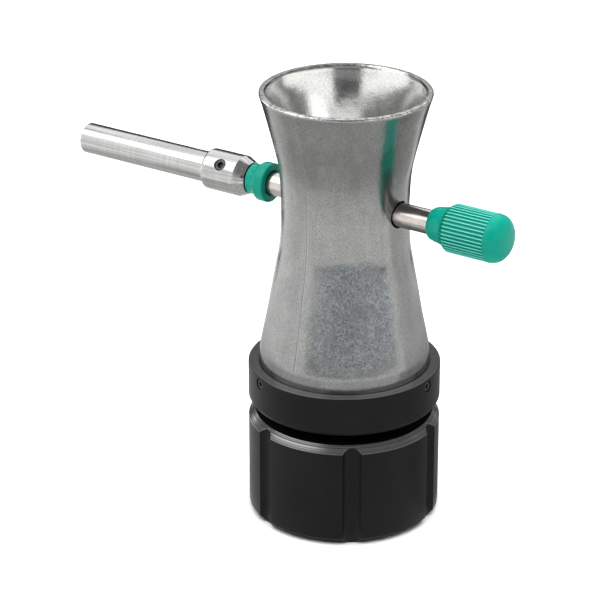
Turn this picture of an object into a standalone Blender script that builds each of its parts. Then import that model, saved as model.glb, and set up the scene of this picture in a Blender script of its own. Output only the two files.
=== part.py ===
"""Bench powder trickler: a cast funnel on a fluted, screw-adjusted stand, crossed by a hand-turned feed tube.

Frame: origin at the centre of the foot's underside, +Z up, feed tube along X with the knob at +X.
All constants are in millimetres and become metres through MM.
"""

import math

import bmesh
import bpy
from mathutils import Matrix, Vector

MM = 0.001
OBJECT_NAME = "powder_trickler"

# ---------------------------------------------------------------- driving dimensions
# stand
BASE_R = 28.575            # 2 1/4 in stand
BASE_LOW_Z = 0.2           # underside of the rim, just clear of the bench
BASE_TOP_Z = 32.1
BASE_CHAMFER = 2.1
BASE_EDGE = 1.8            # chamfer on the lower edge
FLUTES = 6
FLUTE_R = 3.3
FLUTE_DEPTH = 1.6
FLUTE_START_DEG = -51.8   # first flute, measured from +X
THREAD_BORE_R = 17.3
SHOULDER_Z = 23.7          # roof of the guide chamber, stops the guide washer
CHAMBER_R = 20.0
PAD_R = 25.6
PAD_T = 1.6
# stem and its stop
STEM_R = 17.0
STEM_LOW_Z = 11.4
GUIDE_R = 19.6
GUIDE_LOW_Z = 6.1
GUIDE_T = 5.0
GROOVE_R = 17.4
GROOVE_W = 2.6
ORING_MAJOR = 18.7
ORING_MINOR = 1.0
# clamp ring
RING_R = 28.57
RING_LOW_Z = 35.85
RING_TOP_Z = 47.8
RING_FLOOR_Z = 39.8
RING_BORE_R = 25.6
RING_SCREW_Z = 45.5
RING_SCREW_R = 1.6
RING_SCREW_DEG = (2.5, 122.5, 242.5)
# hopper casting: (radius, height) stations of the outside, from foot to rim
FOOT_R = 25.3
FOOT_LOW_Z = 40.1
RIM_Z = 131.9
RIM_R = 25.0
OUTSIDE = (
    (25.3, 50.1), (24.12, 57.5), (23.15, 62.5), (22.43, 66.5), (21.55, 71.5), (20.3, 78.5), (19.2, 85.5),
    (18.72, 95.5), (18.77, 100.5), (19.08, 106.0), (19.57, 110.0), (20.38, 113.7), (22.24, 121.0), (24.06, 128.0), (25.0, 131.1),
)
WALL_RIM = 2.3             # wall thickness at the rim
WALL_BOWL = 3.2            # wall thickness at the bowl
BOWL_TOP_Z = 106.0
BOWL_LOW_Z = 92.0
SKIRT_WALL = 3.2
SKIRT_TOP_Z = 87.0
# feed tube, along X
TUBE_Z = 98.0
TUBE_R = 3.725
TUBE_BORE_R = 2.8
TUBE_X0 = -55.0
TUBE_X1 = 45.0
INLET_R = 1.4
CROSS_BORE_R = 4.4
SEAL_IN_R = 3.86
SEAL_OUT_R = 4.27
SEAL_X0 = 15.3
SEAL_X1 = 18.0
# knob
KNOB_X0 = 29.9
KNOB_X1 = 55.0
KNOB_R = 7.15
KNOB_NECK_R = 5.1
KNOB_RIBS = 40
RIB_DEPTH = 0.35
RIB_X0 = 34.8
RIB_X1 = 50.1
# stop collar
COLLAR_X0 = -32.7
COLLAR_X1 = -25.7
COLLAR_R = 4.55
COLLAR_FLANGE_R = 5.9
# extension tube
EXT_X0 = -94.7
EXT_R = 4.675
EXT_BORE_R = 3.3
HUB_X0 = -48.0
HUB_X1 = -33.0
HUB_R = 6.18
HUB_CONE_X = -36.2
SOCKET_X = -55.3
SOCKET_R = 3.9
EXT_SCREW_X = -41.5
EXT_SCREW_TILT = 50.0      # from straight up towards -Y
EXT_SCREW_R = 1.75

LARGE_STEPS = 48
SMALL_STEPS = 24


# ---------------------------------------------------------------- scene and helpers
for old in list(bpy.data.objects):
    bpy.data.objects.remove(old, do_unlink=True)

parts = bpy.data.collections.new(OBJECT_NAME)
cutters = bpy.data.collections.new("cutters")
bpy.context.scene.collection.children.link(parts)
bpy.context.scene.collection.children.link(cutters)


def material(name, colour, roughness, metallic):
    made = bpy.data.materials.get(name)
    if made:
        return made
    made = bpy.data.materials.new(name)
    made.use_nodes = True
    shader = made.node_tree.nodes["Principled BSDF"]
    shader.inputs["Base Color"].default_value = (*colour, 1.0)
    shader.inputs["Roughness"].default_value = roughness
    shader.inputs["Metallic"].default_value = metallic
    return made


BLACK = ("black_anodised", (0.03, 0.03, 0.032), 0.38, 0.6)
CASTING = ("cast_aluminium", (0.55, 0.55, 0.54), 0.34, 1.0)
TURNED = ("turned_aluminium", (0.80, 0.80, 0.80), 0.24, 1.0)
STEEL = ("feed_tube_steel", (0.56, 0.54, 0.52), 0.28, 1.0)
GREEN = ("green_plastic", (0.0, 0.40, 0.28), 0.35, 0.0)
RUBBER = ("black_rubber", (0.02, 0.02, 0.02), 0.8, 0.0)
SCREW = ("black_oxide_screw", (0.03, 0.03, 0.035), 0.45, 0.9)


def finish(obj, look, name=None):
    """Give an object its own copy of a look and smooth shading."""
    own = material(f"{obj.name}_{look[0]}", *look[1:])
    obj.data.materials.clear()
    obj.data.materials.append(own)
    obj.data.shade_smooth()
    obj.data.set_sharp_from_angle(angle=math.radians(32))
    return obj


def empty(name, z):
    made = bpy.data.objects.new(name, None)
    made.location = (0, 0, z * MM)
    made.empty_display_size = 0.01
    parts.objects.link(made)
    return made


def turned(name, profile, steps=LARGE_STEPS, closed=True, home=parts):
    """A turned shape about local Z. The profile is (radius, height), down the outer side first."""
    mesh = bpy.data.meshes.new(name)
    points = [(r * MM, 0.0, z * MM) for r, z in profile]
    edges = [(i, i + 1) for i in range(len(points) - 1)]
    if closed:
        edges.append((len(points) - 1, 0))
    mesh.from_pydata(points, edges, [])
    obj = bpy.data.objects.new(name, mesh)
    home.objects.link(obj)
    screw = obj.modifiers.new("turn", "SCREW")
    screw.axis = "Z"
    screw.angle = math.tau
    screw.steps = steps
    screw.render_steps = steps
    screw.use_merge_vertices = True
    screw.merge_threshold = 0.00001
    screw.use_smooth_shade = True
    return obj


def bake(obj):
    """Turn the modifiers into mesh, so that shading and later cuts work on the real surface."""
    graph = bpy.context.evaluated_depsgraph_get()
    graph.update()
    mesh = bpy.data.meshes.new_from_object(obj.evaluated_get(graph))
    obj.modifiers.clear()
    obj.data = mesh
    mesh.name = obj.name
    return obj


def cut(obj, cutter, operation="DIFFERENCE"):
    step = obj.modifiers.new(f"cut_{cutter.name}", "BOOLEAN")
    step.operation = operation
    step.solver = "EXACT"
    step.object = cutter


def hide(cutter):
    cutter.hide_render = True
    cutter.display_type = "WIRE"
    return cutter


def cylinder_into(bm, radius, depth, matrix, sides, tip=None):
    bmesh.ops.create_cone(
        bm, cap_ends=True, segments=sides, radius1=radius * MM,
        radius2=(radius if tip is None else tip) * MM, depth=depth * MM, matrix=matrix,
    )


def cylinder(name, radius, low, high, matrix=Matrix.Identity(4), sides=SMALL_STEPS, home=cutters):
    """A cylinder from low to high along the matrix's Z."""
    bm = bmesh.new()
    shift = Matrix.Translation((0, 0, (low + high) / 2 * MM))
    cylinder_into(bm, radius, high - low, matrix @ shift, sides)
    mesh = bpy.data.meshes.new(name)
    bm.to_mesh(mesh)
    bm.free()
    obj = bpy.data.objects.new(name, mesh)
    home.objects.link(obj)
    return hide(obj) if home is cutters else obj


def smooth_through(stations, count):
    """Points (radius, height) on a cubic through the stations, evenly in height."""
    heights = [z for _, z in stations]
    radii = [r for r, _ in stations]
    last = len(stations) - 1
    slopes = []
    for i in range(last + 1):
        a, b = max(i - 1, 0), min(i + 1, last)
        slopes.append((radii[b] - radii[a]) / (heights[b] - heights[a]))
    found = []
    for k in range(count + 1):
        z = heights[0] + (heights[-1] - heights[0]) * k / count
        i = min(max(sum(1 for h in heights if h <= z) - 1, 0), last - 1)
        span = heights[i + 1] - heights[i]
        t = (z - heights[i]) / span
        r = (
            (2 * t**3 - 3 * t**2 + 1) * radii[i]
            + (t**3 - 2 * t**2 + t) * span * slopes[i]
            + (-2 * t**3 + 3 * t**2) * radii[i + 1]
            + (t**3 - t**2) * span * slopes[i + 1]
        )
        found.append((r, z))
    return found


def outside_radius(z):
    line = smooth_through(OUTSIDE, 160)
    return min(line, key=lambda p: abs(p[1] - z))[0]


# joint axes
height_axis = empty("height_axis", (SHOULDER_Z + BASE_TOP_Z) / 2)
tube_axis = empty("tube_axis", TUBE_Z)
ALONG_X = Matrix.Rotation(math.pi / 2, 4, "Y")


def on_tube(obj):
    """Lay a turned piece along X on the feed tube's axis: its local Z becomes +X."""
    obj.parent = tube_axis
    obj.rotation_euler = (0, math.pi / 2, 0)
    return obj


def on_stand(obj):
    obj.parent = height_axis
    obj.location = (0, 0, -height_axis.location.z)
    return obj


# ---------------------------------------------------------------- stand: pad and fluted base
foot_pad = turned("foot_pad", [(0, PAD_T), (PAD_R - 0.3, PAD_T), (PAD_R, PAD_T - 0.3), (PAD_R, 0), (0, 0)], steps=40, closed=False)
finish(bake(foot_pad), RUBBER)

base = turned("base", [
    (BASE_R - BASE_CHAMFER, BASE_TOP_Z), (BASE_R, BASE_TOP_Z - BASE_CHAMFER), (BASE_R, BASE_LOW_Z + BASE_EDGE),
    (BASE_R - BASE_EDGE, BASE_LOW_Z), (PAD_R + 0.3, BASE_LOW_Z), (PAD_R + 0.3, PAD_T + 0.3),
    (CHAMBER_R, PAD_T + 0.3), (CHAMBER_R, SHOULDER_Z), (THREAD_BORE_R, SHOULDER_Z), (THREAD_BORE_R, BASE_TOP_Z - 0.8),
    (THREAD_BORE_R + 0.8, BASE_TOP_Z),
], steps=60)
bake(base)
bm = bmesh.new()
for i in range(FLUTES):
    turn = Matrix.Rotation(math.radians(FLUTE_START_DEG + 360 / FLUTES * i), 4, "Z")
    place = Matrix.Translation(((BASE_R - FLUTE_DEPTH + FLUTE_R) * MM, 0, BASE_TOP_Z / 2 * MM))
    cylinder_into(bm, FLUTE_R, BASE_TOP_Z + 6, turn @ place, 20)
mesh = bpy.data.meshes.new("flute_cutter")
bm.to_mesh(mesh)
bm.free()
flute_cutter = hide(bpy.data.objects.new("flute_cutter", mesh))
cutters.objects.link(flute_cutter)
cut(base, flute_cutter)
finish(bake(base), BLACK)

# ---------------------------------------------------------------- stem, guide washer, friction ring, screws
mid_groove = GUIDE_LOW_Z + GUIDE_T / 2
stem = turned("threaded_stem", [
    (0, 23.1), (3.3, 23.1), (3.3, RING_LOW_Z - 0.3), (STEM_R - 0.6, RING_LOW_Z - 0.3), (STEM_R, RING_LOW_Z - 0.9),
    (STEM_R, STEM_LOW_Z + 0.8), (STEM_R - 0.8, STEM_LOW_Z), (2.8, STEM_LOW_Z), (2.8, 21.1), (0, 21.1),
], steps=40, closed=False)
finish(bake(on_stand(stem)), BLACK)

stem_screw = turned("stem_screw", [
    (0, 38.1), (1.7, 38.1), (1.7, 39.5), (5.9, 39.5), (5.9, 38.9), (3.0, 36.0), (3.0, 24.5), (2.4, 23.7), (0, 23.7),
], steps=SMALL_STEPS, closed=False)
finish(bake(on_stand(stem_screw)), SCREW)

guide_washer = turned("guide_washer", [
    (GUIDE_R, GUIDE_LOW_Z + GUIDE_T), (GUIDE_R, mid_groove + GROOVE_W / 2), (GROOVE_R, mid_groove + GROOVE_W / 2),
    (GROOVE_R, mid_groove - GROOVE_W / 2), (GUIDE_R, mid_groove - GROOVE_W / 2), (GUIDE_R, GUIDE_LOW_Z),
    (4.8, GUIDE_LOW_Z), (4.8, 9.3), (2.8, 9.3), (2.8, GUIDE_LOW_Z + GUIDE_T),
], steps=32)
finish(bake(on_stand(guide_washer)), TURNED)

stop_screw = turned("stop_screw", [
    (0, 20.5), (2.0, 20.5), (2.5, 20.0), (2.5, 9.0), (4.5, 9.0), (4.5, 6.4), (1.6, 6.4), (1.6, 7.9), (0, 7.9),
], steps=SMALL_STEPS, closed=False)
finish(bake(on_stand(stop_screw)), SCREW)

bpy.ops.mesh.primitive_torus_add(
    major_radius=ORING_MAJOR * MM, minor_radius=ORING_MINOR * MM, major_segments=32, minor_segments=8,
    location=(0, 0, mid_groove * MM),
)
friction_ring = bpy.context.object
friction_ring.name = friction_ring.data.name = "friction_ring"
for home in list(friction_ring.users_collection):
    home.objects.unlink(friction_ring)
parts.objects.link(friction_ring)
friction_ring.parent = height_axis
friction_ring.location = (0, 0, mid_groove * MM - height_axis.location.z)
finish(friction_ring, RUBBER)

# ---------------------------------------------------------------- clamp ring and its three set screws
mounting_ring = turned("mounting_ring", [
    (RING_R - 0.3, RING_TOP_Z), (RING_R, RING_TOP_Z - 0.3), (RING_R, RING_LOW_Z + 1.3), (RING_R - 0.9, RING_LOW_Z),
    (3.4, RING_LOW_Z), (3.4, 36.2), (6.3, 39.1), (6.3, RING_FLOOR_Z), (RING_BORE_R, RING_FLOOR_Z),
    (RING_BORE_R, RING_TOP_Z - 0.5), (RING_BORE_R + 0.5, RING_TOP_Z),
])
bake(on_stand(mounting_ring))
bm = bmesh.new()
for degrees in RING_SCREW_DEG:
    turn = Matrix.Rotation(math.radians(degrees), 4, "Z")
    place = Matrix.Translation(((RING_BORE_R + RING_R) / 2 * MM, 0, RING_SCREW_Z * MM))
    cylinder_into(bm, RING_SCREW_R + 0.25, 6.0, turn @ place @ ALONG_X, 16)
mesh = bpy.data.meshes.new("ring_screw_cutter")
bm.to_mesh(mesh)
bm.free()
ring_screw_cutter = hide(bpy.data.objects.new("ring_screw_cutter", mesh))
cutters.objects.link(ring_screw_cutter)
cut(mounting_ring, ring_screw_cutter)
finish(bake(mounting_ring), BLACK)


def set_screw(name, radius, tip, top, socket, matrix):
    """A headless hex-socket screw along the matrix's Z, from tip to top."""
    bm = bmesh.new()
    body_top = top - 0.25
    cylinder_into(bm, radius, body_top - tip, matrix @ Matrix.Translation((0, 0, (tip + body_top) / 2 * MM)), 16)
    mesh = bpy.data.meshes.new(name)
    bm.to_mesh(mesh)
    bm.free()
    obj = bpy.data.objects.new(name, mesh)
    parts.objects.link(obj)
    hexagon = cylinder(f"{name}_socket", socket, body_top - 1.3, top + 1.0, matrix, sides=6)
    cut(obj, hexagon)
    return finish(bake(obj), SCREW)


for number, degrees in enumerate(RING_SCREW_DEG, 1):
    turn = Matrix.Rotation(math.radians(degrees), 4, "Z")
    screw = set_screw(
        f"ring_screw_{number}", RING_SCREW_R, FOOT_R + 0.3, RING_R - 0.1, 1.0,
        turn @ Matrix.Translation((0, 0, RING_SCREW_Z * MM)) @ ALONG_X,
    )
    on_stand(screw)

# ---------------------------------------------------------------- hopper casting
# one line from the bowl's lowest point, up the funnel, over the rim, down the outside and up the hollow skirt
rim_inner = RIM_R - WALL_RIM
bowl_r = outside_radius(BOWL_TOP_Z) - WALL_BOWL
bowl_steps, funnel_steps, outer_steps, skirt_steps, dome_steps = 6, 5, 15, 5, 3
profile = []
for k in range(bowl_steps + 1):
    a = math.pi / 2 * k / bowl_steps
    profile.append((bowl_r * math.sin(a) if k else 0.0, BOWL_TOP_Z - (BOWL_TOP_Z - BOWL_LOW_Z) * math.cos(a)))
funnel_top_z = RIM_Z - 1.3
for k in range(1, funnel_steps + 1):
    t = k / funnel_steps
    z = BOWL_TOP_Z + (funnel_top_z - BOWL_TOP_Z) * t
    profile.append((outside_radius(min(z, OUTSIDE[-1][1])) - (WALL_BOWL + (WALL_RIM - WALL_BOWL) * t), z))
profile += [(rim_inner + 0.9, RIM_Z), (RIM_R - 0.7, RIM_Z), (RIM_R - 0.2, RIM_Z - 0.3)]
profile += reversed(smooth_through(OUTSIDE, outer_steps))
profile += [(FOOT_R, FOOT_LOW_Z + 0.5), (FOOT_R - 0.5, FOOT_LOW_Z), (FOOT_R - SKIRT_WALL, FOOT_LOW_Z)]
skirt_dome_z = 80.5
for k in range(1, skirt_steps + 1):
    z = FOOT_LOW_Z + (skirt_dome_z - FOOT_LOW_Z) * k / skirt_steps
    profile.append(((FOOT_R if z < OUTSIDE[0][1] else outside_radius(z)) - SKIRT_WALL, z))
dome_r = profile[-1][0]
for k in range(1, dome_steps + 1):
    a = math.pi / 2 * k / dome_steps
    profile.append((dome_r * math.cos(a) if k < dome_steps else 0.0, skirt_dome_z + (SKIRT_TOP_Z - skirt_dome_z) * math.sin(a)))
hopper = turned("hopper", profile, steps=LARGE_STEPS, closed=False)
bake(on_stand(hopper))
cross_bore = cylinder("cross_bore", CROSS_BORE_R, -30, 30, Matrix.Translation((0, 0, TUBE_Z * MM)) @ ALONG_X)
cut(hopper, cross_bore)
finish(bake(hopper), CASTING)

# ---------------------------------------------------------------- seals where the tube crosses the casting
for side, name in ((1, "tube_seal_right"), (-1, "tube_seal_left")):
    low, high = sorted((side * SEAL_X0, side * SEAL_X1))
    seal = turned(name, [(SEAL_OUT_R, high), (SEAL_OUT_R, low), (SEAL_IN_R, low), (SEAL_IN_R, high)], steps=SMALL_STEPS)
    finish(bake(on_tube(seal)), RUBBER)

# ---------------------------------------------------------------- feed tube
tube = turned("trickler_tube", [
    (TUBE_R - 0.2, TUBE_X1), (TUBE_R, TUBE_X1 - 0.2), (TUBE_R, TUBE_X0 + 0.2), (TUBE_R - 0.2, TUBE_X0),
    (TUBE_BORE_R, TUBE_X0), (TUBE_BORE_R, TUBE_X1),
], steps=SMALL_STEPS)
bake(on_tube(tube))
bm = bmesh.new()
for x, direction in ((-4.5, 1), (0.0, -1), (4.5, 1)):
    place = Matrix.Translation((-direction * TUBE_R * MM, 0, x * MM)) @ ALONG_X
    cylinder_into(bm, INLET_R, 3.6, place, 12)
mesh = bpy.data.meshes.new("inlet_cutter")
bm.to_mesh(mesh)
bm.free()
inlet_cutter = hide(bpy.data.objects.new("inlet_cutter", mesh))
cutters.objects.link(inlet_cutter)
on_tube(inlet_cutter)
cut(tube, inlet_cutter)
finish(bake(tube), STEEL)

# ---------------------------------------------------------------- knob
dome = []
dome_steps = 6
for k in range(dome_steps + 1):
    a = math.pi / 2 * k / dome_steps
    dome.append((KNOB_R * math.sin(a) ** 0.85 if k else 0.0, RIB_X1 + 0.2 + (KNOB_X1 - RIB_X1 - 0.2) * math.cos(a)))
socket_end = TUBE_X1 + 0.3
knob = turned("knob", dome + [
    (KNOB_R, 36.7), (KNOB_NECK_R + 0.6, RIB_X0), (KNOB_NECK_R + 0.25, 33.3), (KNOB_NECK_R, 31.9),
    (4.75, 30.7), (4.3, KNOB_X0), (SOCKET_R, KNOB_X0), (SOCKET_R, socket_end), (0, socket_end),
], steps=36, closed=False)
bake(on_tube(knob))
bm = bmesh.new()
for i in range(KNOB_RIBS):
    turn = Matrix.Rotation(math.tau * (i + 0.5) / KNOB_RIBS, 4, "Z")
    place = Matrix.Translation(((KNOB_R + 0.28) * MM, 0, (RIB_X0 + RIB_X1) / 2 * MM))
    cylinder_into(bm, RIB_DEPTH + 0.28, RIB_X1 - RIB_X0, turn @ place @ Matrix.Rotation(math.pi / 4, 4, "Z"), 4)
mesh = bpy.data.meshes.new("rib_cutter")
bm.to_mesh(mesh)
bm.free()
rib_cutter = hide(bpy.data.objects.new("rib_cutter", mesh))
cutters.objects.link(rib_cutter)
on_tube(rib_cutter)
cut(knob, rib_cutter)
finish(bake(knob), GREEN)

# ---------------------------------------------------------------- stop collar
collar = turned("stop_collar", [
    (4.1, COLLAR_X1), (COLLAR_FLANGE_R - 0.5, COLLAR_X1), (COLLAR_FLANGE_R, COLLAR_X1 - 0.6),
    (COLLAR_FLANGE_R, COLLAR_X1 - 3.0), (COLLAR_FLANGE_R - 0.45, COLLAR_X1 - 3.8), (4.85, COLLAR_X1 - 4.5),
    (COLLAR_R, COLLAR_X1 - 5.4), (COLLAR_R, COLLAR_X0 + 0.2), (COLLAR_R - 0.2, COLLAR_X0),
    (SOCKET_R, COLLAR_X0), (SOCKET_R, COLLAR_X1 - 0.3),
], steps=32)
finish(bake(on_tube(collar)), GREEN)

# ---------------------------------------------------------------- extension tube and its set screw
extension = turned("extension_tube", [
    (4.7, HUB_X1), (HUB_R, HUB_CONE_X), (HUB_R, HUB_X0 + 0.5), (HUB_R - 0.5, HUB_X0), (EXT_R, HUB_X0),
    (EXT_R, EXT_X0 + 0.25), (EXT_R - 0.25, EXT_X0), (EXT_BORE_R, EXT_X0), (EXT_BORE_R, SOCKET_X),
    (SOCKET_R, SOCKET_X), (SOCKET_R, HUB_X1),
], steps=32)
bake(on_tube(extension))
screw_frame = Matrix.Translation((EXT_SCREW_X * MM, 0, TUBE_Z * MM)) @ Matrix.Rotation(math.radians(EXT_SCREW_TILT), 4, "X")
screw_hole = cylinder("extension_screw_hole", EXT_SCREW_R + 0.25, 2.0, 9.0, screw_frame, sides=16)
cut(extension, screw_hole)
finish(bake(extension), TURNED)
screw = set_screw("extension_screw", EXT_SCREW_R, TUBE_R + 0.3, HUB_R - 0.1, 0.95, screw_frame)
screw.parent = tube_axis
screw.location = (0, 0, -TUBE_Z * MM)
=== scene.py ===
"""Looks for the bench powder trickler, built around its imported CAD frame."""

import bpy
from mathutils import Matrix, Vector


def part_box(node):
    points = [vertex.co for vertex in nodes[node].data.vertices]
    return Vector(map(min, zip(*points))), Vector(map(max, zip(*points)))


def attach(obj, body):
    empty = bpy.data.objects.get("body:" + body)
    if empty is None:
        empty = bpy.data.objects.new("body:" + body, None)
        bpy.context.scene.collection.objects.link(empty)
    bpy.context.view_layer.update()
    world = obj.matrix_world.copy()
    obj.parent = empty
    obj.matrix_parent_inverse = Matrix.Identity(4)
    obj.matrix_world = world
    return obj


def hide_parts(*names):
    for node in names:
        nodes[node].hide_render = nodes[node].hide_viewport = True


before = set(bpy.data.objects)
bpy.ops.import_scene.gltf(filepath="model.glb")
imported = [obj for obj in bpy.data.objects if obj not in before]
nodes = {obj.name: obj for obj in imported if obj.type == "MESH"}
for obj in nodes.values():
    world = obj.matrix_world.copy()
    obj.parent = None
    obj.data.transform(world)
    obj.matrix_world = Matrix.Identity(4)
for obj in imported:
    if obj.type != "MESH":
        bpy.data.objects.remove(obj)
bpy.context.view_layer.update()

import math

import bpy
import numpy as np
from mathutils import Matrix, Vector, noise as mnoise

MM = 0.001
TAU = math.tau
scene = bpy.context.scene


def box_mm(name):
    low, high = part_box(name)
    return [v / MM for v in low], [v / MM for v in high]


# ------------------------------------------------------------------ sizes, all read from the CAD frame (mm)
base_lo, base_hi = box_mm("base")
ring_lo, ring_hi = box_mm("mounting_ring")
hop_lo, hop_hi = box_mm("hopper")
knob_lo, knob_hi = box_mm("knob")
col_lo, col_hi = box_mm("stop_collar")
ext_lo, ext_hi = box_mm("extension_tube")
tube_lo, tube_hi = box_mm("trickler_tube")
pad_lo, pad_hi = box_mm("foot_pad")
stem_lo, stem_hi = box_mm("threaded_stem")

BASE_R = base_hi[0]
BASE_Z0, BASE_Z1 = base_lo[2], base_hi[2]
RING_R = ring_hi[0]
RING_Z0, RING_Z1 = ring_lo[2], ring_hi[2]
RIM_Z = hop_hi[2]
FOOT_Z = hop_lo[2]
TUBE_Z = (tube_lo[2] + tube_hi[2]) / 2
TUBE_R = (tube_hi[1] - tube_lo[1]) / 2
KNOB_R = (knob_hi[1] - knob_lo[1]) / 2
HUB_R = (ext_hi[1] - ext_lo[1]) / 2
COLLAR_R = (col_hi[1] - col_lo[1]) / 2


# ------------------------------------------------------------------ mesh helpers
def arc_corner(a, b, c, radius, count):
    """Points that round the corner b between a and c."""
    a, b, c = (np.array(p, float) for p in (a, b, c))
    u, v = a - b, c - b
    lu, lv = np.linalg.norm(u), np.linalg.norm(v)
    u, v = u / lu, v / lv
    cosine = float(np.clip(u @ v, -1, 1))
    half = math.acos(cosine) / 2
    if half > math.pi / 2 - 0.02:
        return [tuple(b)]
    reach = min(radius / math.tan(half), 0.49 * lu, 0.49 * lv)
    radius = reach * math.tan(half)
    middle = b + (u + v) / np.linalg.norm(u + v) * (radius / math.sin(half))
    start, end = b + u * reach, b + v * reach
    s, e = start - middle, end - middle
    angle = math.acos(float(np.clip((s @ e) / (np.linalg.norm(s) * np.linalg.norm(e)), -1, 1)))
    sign = 1 if s[0] * e[1] - s[1] * e[0] > 0 else -1
    points = []
    for k in range(count + 1):
        t = sign * angle * k / count
        points.append(tuple(middle + np.array([s[0] * math.cos(t) - s[1] * math.sin(t), s[0] * math.sin(t) + s[1] * math.cos(t)])))
    return points


def rounded(profile, closed=False, count=4):
    """profile holds (r, z) or (r, z, corner radius)."""
    n = len(profile)
    out = []
    for i, p in enumerate(profile):
        radius = p[2] if len(p) > 2 else 0
        if radius <= 0 or (not closed and i in (0, n - 1)):
            out.append((p[0], p[1]))
            continue
        out += arc_corner(profile[i - 1][:2], p[:2], profile[(i + 1) % n][:2], radius, count)
    return out


def dense(line, step, closed=False):
    """Adds points so that no stretch is longer than step."""
    out = []
    n = len(line)
    for i in range(n if closed else n - 1):
        a, b = np.array(line[i]), np.array(line[(i + 1) % n])
        parts = max(1, math.ceil(np.linalg.norm(b - a) / step))
        out += [tuple(a + (b - a) * k / parts) for k in range(parts)]
    if not closed:
        out.append(tuple(line[-1]))
    return out


def mesh_object(name, verts_mm, faces):
    mesh = bpy.data.meshes.new(name)
    mesh.from_pydata([tuple(v * MM for v in p) for p in verts_mm], [], faces)
    mesh.validate()
    mesh.update()
    obj = bpy.data.objects.new(name, mesh)
    scene.collection.objects.link(obj)
    return obj


def smooth(obj, degrees=35, weighted=True):
    obj.data.shade_smooth()
    obj.data.set_sharp_from_angle(angle=math.radians(degrees))
    if weighted:
        modifier = obj.modifiers.new("weighted", "WEIGHTED_NORMAL")
        modifier.keep_sharp = True
        modifier.weight = 50
    return obj


def revolve(name, line, angles, radius_of=None, closed=False, along_x=False, shift_z=0.0):
    """A turned mesh. line holds (r, z), down the outer side first. radius_of(r, z, angle, index) may change r."""
    angles = np.asarray(angles)
    nu = len(angles)
    verts, rows = [], []
    ca, sa = np.cos(angles), np.sin(angles)
    for i, (r, z) in enumerate(line):
        if r < 1e-6:
            rows.append([len(verts)])
            verts.append((0.0, 0.0, z))
            continue
        rr = np.full(nu, r) if radius_of is None else radius_of(r, z, angles, i)
        zz = np.full(nu, z)
        if isinstance(rr, tuple):
            rr, zz = rr
        start = len(verts)
        rows.append(list(range(start, start + nu)))
        verts += list(zip(rr * ca, rr * sa, zz))
    faces = []
    pairs = list(zip(rows[:-1], rows[1:]))
    if closed:
        pairs.append((rows[-1], rows[0]))
    for top, low in pairs:
        if len(top) == 1 and len(low) == 1:
            continue
        for j in range(nu):
            k = (j + 1) % nu
            if len(top) == 1:
                faces.append((top[0], low[j], low[k]))
            elif len(low) == 1:
                faces.append((top[j], low[0], top[k]))
            else:
                faces.append((top[j], low[j], low[k], top[k]))
    if along_x:
        verts = [(z, y, -x) for x, y, z in verts]
    verts = [(x, y, z + shift_z) for x, y, z in verts]
    return mesh_object(name, verts, faces)


def even(n, offset=0.0):
    return offset + np.arange(n) * TAU / n


def apply_all(obj):
    graph = bpy.context.evaluated_depsgraph_get()
    graph.update()
    mesh = bpy.data.meshes.new_from_object(obj.evaluated_get(graph))
    obj.modifiers.clear()
    obj.data = mesh
    return obj


def subtract(obj, cutters, solver="EXACT"):
    for cutter in cutters:
        step = obj.modifiers.new("cut", "BOOLEAN")
        step.operation = "DIFFERENCE"
        step.solver = solver
        step.object = cutter
    apply_all(obj)
    for cutter in cutters:
        bpy.data.objects.remove(cutter, do_unlink=True)
    return obj


def turned_cutter(line, matrix, n=48):
    cutter = revolve("cutter", line, even(n), closed=False)
    cutter.data.transform(matrix)
    return cutter


ALONG_X = Matrix.Rotation(math.pi / 2, 4, "Y")


def at(x=0.0, y=0.0, z=0.0):
    return Matrix.Translation((x * MM, y * MM, z * MM))


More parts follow.
